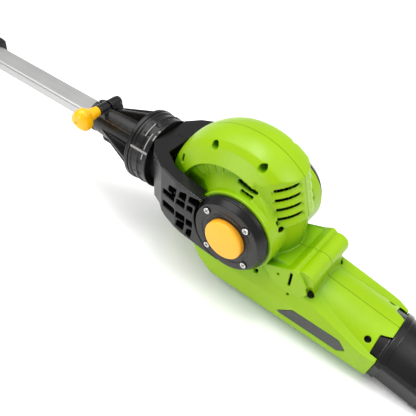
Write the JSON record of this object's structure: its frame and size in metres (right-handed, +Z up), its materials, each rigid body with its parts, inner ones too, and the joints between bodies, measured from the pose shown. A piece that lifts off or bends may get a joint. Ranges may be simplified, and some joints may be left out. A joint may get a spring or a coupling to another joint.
{
  "type": "pole hedge trimmer",
  "caption": "Battery pole hedge trimmer: tilting round motor head with double-sided blades on a telescopic flat pole, with clamp knobs and a rear loop handle.",
  "frame": {"origin": "on the surface under the middle of the whole tool, as it lies on its flat undersides", "axes": "+X forward to the blade tip, +Y to the left side, +Z up"},
  "size_m": [1.904, 0.1408, 0.2025],
  "materials": {
    "green_plastic": "satin moulded lime green",
    "black_plastic": "fine grained moulded black",
    "amber_plastic": "smooth moulded amber",
    "yellow_plastic": "smooth moulded yellow",
    "soft_grip": "soft overmould",
    "plate_grey": "printed grey foil",
    "pole_aluminium": "anodised, drawn lengthwise",
    "screw_steel": "zinc plated",
    "blade_steel": "ground steel",
    "machine_steel": "machined",
    "circuit_board": "coated board"
  },
  "bodies": {
    "handle": {"outer_pole": "pole_aluminium", "telescope_clamp": "black_plastic", "telescope_bolt": "screw_steel", "front_grip": "soft_grip", "strap_ring": "black_plastic", "rear_shell_left": "green_plastic", "rear_shell_right": "green_plastic", "handle_screws": "screw_steel", "grip_pad": "soft_grip", "control_board": "circuit_board", "trigger_switch": "circuit_board", "trigger_pin": "screw_steel", "battery_dock": "black_plastic"},
    "telescope_knob": {"telescope_knob": "yellow_plastic"},
    "trigger": {"trigger": "black_plastic"},
    "lock_off": {"lock_off_button": "black_plastic"},
    "battery": {"battery_pack": "black_plastic"},
    "battery_button": {"battery_button": "amber_plastic"},
    "lower_pole": {"inner_pole": "pole_aluminium", "pole_socket": "black_plastic", "strap_hook": "black_plastic", "swivel_retainer": "machine_steel", "clamp_bolt": "screw_steel"},
    "clamp_knob": {"clamp_knob": "yellow_plastic"},
    "fork": {"fork_left": "black_plastic", "fork_right": "black_plastic", "hinge_cover_left": "black_plastic", "hinge_cover_right": "black_plastic", "cover_screws": "screw_steel", "button_springs": "machine_steel"},
    "lock_collar": {"lock_collar": "black_plastic"},
    "button_left": {"release_button_left": "amber_plastic", "lock_gear_left": "machine_steel"},
    "button_right": {"release_button_right": "amber_plastic", "lock_gear_right": "machine_steel"},
    "head": {"head_shell_left": "green_plastic", "head_shell_right": "green_plastic", "rating_plate_left": "plate_grey", "rating_plate_right": "plate_grey", "head_screws": "screw_steel", "motor_can": "machine_steel", "bearings": "machine_steel", "gear_plate": "black_plastic", "gear_case": "black_plastic", "case_ring": "black_plastic", "skid_plate": "black_plastic", "blade_bar": "blade_steel", "blade_bolts": "screw_steel", "tip_guard": "black_plastic"},
    "rotor": {"motor_shaft": "machine_steel", "rotor_core": "machine_steel", "cooling_fan": "black_plastic", "drive_pinion": "machine_steel"},
    "crank": {"crank_gear": "machine_steel", "crank_shaft": "machine_steel"},
    "upper_blade": {"upper_blade": "blade_steel", "upper_drive_rod": "blade_steel"},
    "lower_blade": {"lower_blade": "blade_steel", "lower_drive_rod": "blade_steel"}
  },
  "joints": [
    {"name": "telescope_slide", "type": "slide", "parent": "handle", "child": "lower_pole", "axis": [1, 0, 0], "range_m": [0, 0.28]},
    {"name": "telescope_knob_turn", "type": "hinge", "parent": "handle", "child": "telescope_knob", "pos_m": [-0.258, 0, 0.138], "axis": [0, 1, 0], "continuous": true},
    {"name": "trigger_pull", "type": "hinge", "parent": "handle", "child": "trigger", "pos_m": [-0.728, 0, 0.101], "axis": [0, 1, 0], "range_deg": [0, 10], "stiffness_Nm_per_rad": 1.2},
    {"name": "lock_off_press", "type": "slide", "parent": "handle", "child": "lock_off", "axis": [0, 0, -1], "range_m": [0, 0.003], "stiffness_N_per_m": 800},
    {"name": "battery_slide", "type": "slide", "parent": "handle", "child": "battery", "axis": [0, 0, 1], "range_m": [0, 0.09]},
    {"name": "battery_button_press", "type": "slide", "parent": "battery", "child": "battery_button", "axis": [0, 0, -1], "range_m": [0, 0.003], "stiffness_N_per_m": 800},
    {"name": "clamp_knob_turn", "type": "hinge", "parent": "lower_pole", "child": "clamp_knob", "pos_m": [0.014, 0, 0.1305], "axis": [0, 1, 0], "continuous": true},
    {"name": "head_swivel", "type": "hinge", "parent": "lower_pole", "child": "fork", "pos_m": [0.102, 0, 0.11], "axis": [1, 0, 0], "range_deg": [-90, 90]},
    {"name": "lock_collar_turn", "type": "hinge", "parent": "fork", "child": "lock_collar", "pos_m": [0.102, 0, 0.11], "axis": [1, 0, 0], "range_deg": [0, 30]},
    {"name": "button_left_press", "type": "slide", "parent": "fork", "child": "button_left", "axis": [0, -1, 0], "range_m": [0, 0.006], "stiffness_N_per_m": 900},
    {"name": "button_right_press", "type": "slide", "parent": "fork", "child": "button_right", "axis": [0, 1, 0], "range_m": [0, 0.006], "stiffness_N_per_m": 900},
    {"name": "head_tilt", "type": "hinge", "parent": "fork", "child": "head", "pos_m": [0.252, 0, 0.11], "axis": [0, -1, 0], "range_deg": [0, 135]},
    {"name": "rotor_spin", "type": "hinge", "parent": "head", "child": "rotor", "pos_m": [0.237, 0, 0.11], "axis": [0, 0, 1], "continuous": true},
    {"name": "crank_spin", "type": "hinge", "parent": "head", "child": "crank", "pos_m": [0.276, 0, 0.11], "axis": [0, 0, 1], "continuous": true},
    {"name": "upper_blade_stroke", "type": "slide", "parent": "head", "child": "upper_blade", "axis": [1, 0, 0], "range_m": [-0.008, 0.008]},
    {"name": "lower_blade_stroke", "type": "slide", "parent": "head", "child": "lower_blade", "axis": [1, 0, 0], "range_m": [-0.008, 0.008]}
  ],
  "couplings": [
    {"joint": "crank_spin", "follows": "rotor_spin", "ratio": -0.3},
    {"joint": "lower_blade_stroke", "follows": "upper_blade_stroke", "ratio": -1}
  ]
}
